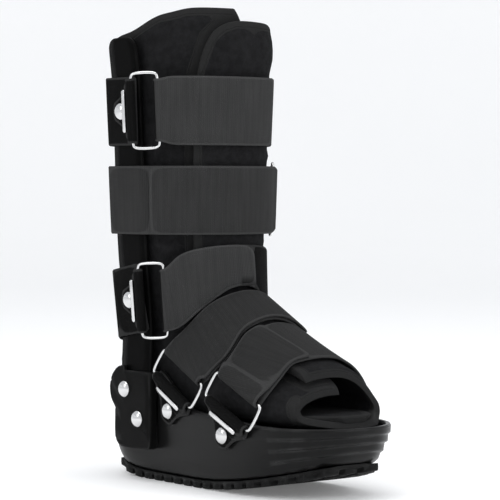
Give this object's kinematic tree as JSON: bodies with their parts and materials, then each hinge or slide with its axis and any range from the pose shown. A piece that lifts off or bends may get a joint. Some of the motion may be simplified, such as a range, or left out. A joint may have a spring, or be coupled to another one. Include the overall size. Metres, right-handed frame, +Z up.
{
  "type": "medical walking boot",
  "caption": "Tall walking boot for an injured ankle: padded wrap liner, folded-back webbing straps on metal rings, stiff side uprights and an open-toed rocker sole",
  "frame": {"origin": "Middle of the sole's flat stretch, on the floor", "axes": "+Z up along the leg, -Y toward the toes, +X toward the wearer's left"},
  "size_m": [0.1414, 0.2598, 0.347],
  "materials": {
    "foam": "brushed loop cloth over foam",
    "webbing": "woven hook-and-loop webbing",
    "plastic": "moulded, light gloss",
    "rubber": "matte moulded rubber",
    "steel": "bright nickel plate"
  },
  "bodies": {
    "root": {"liner": "foam", "foot_shell": "plastic", "outsole": "rubber", "upright_right": "plastic", "upright_left": "plastic", "socket_right": "plastic", "socket_left": "plastic", "rivet_socket_right_1": "steel", "rivet_socket_right_2": "steel", "rivet_socket_left_1": "steel", "rivet_socket_left_2": "steel", "strap_top": "webbing", "ring_top": "steel", "keeper_top": "webbing", "clip_top": "steel", "rivet_top": "steel", "strap_middle": "webbing", "ring_middle": "steel", "keeper_middle": "webbing", "clip_middle": "steel", "rivet_middle": "steel", "strap_lower": "webbing", "ring_lower": "steel", "keeper_lower": "webbing", "clip_lower": "steel", "rivet_lower": "steel", "strap_instep": "webbing", "ring_instep": "steel", "keeper_instep": "webbing", "clip_instep": "steel", "rivet_instep": "steel", "rivet_instep_far": "steel", "strap_forefoot": "webbing", "ring_forefoot": "steel", "keeper_forefoot": "webbing", "clip_forefoot": "steel", "rivet_forefoot": "steel", "rivet_forefoot_far": "steel"}
  },
  "joints": []
}
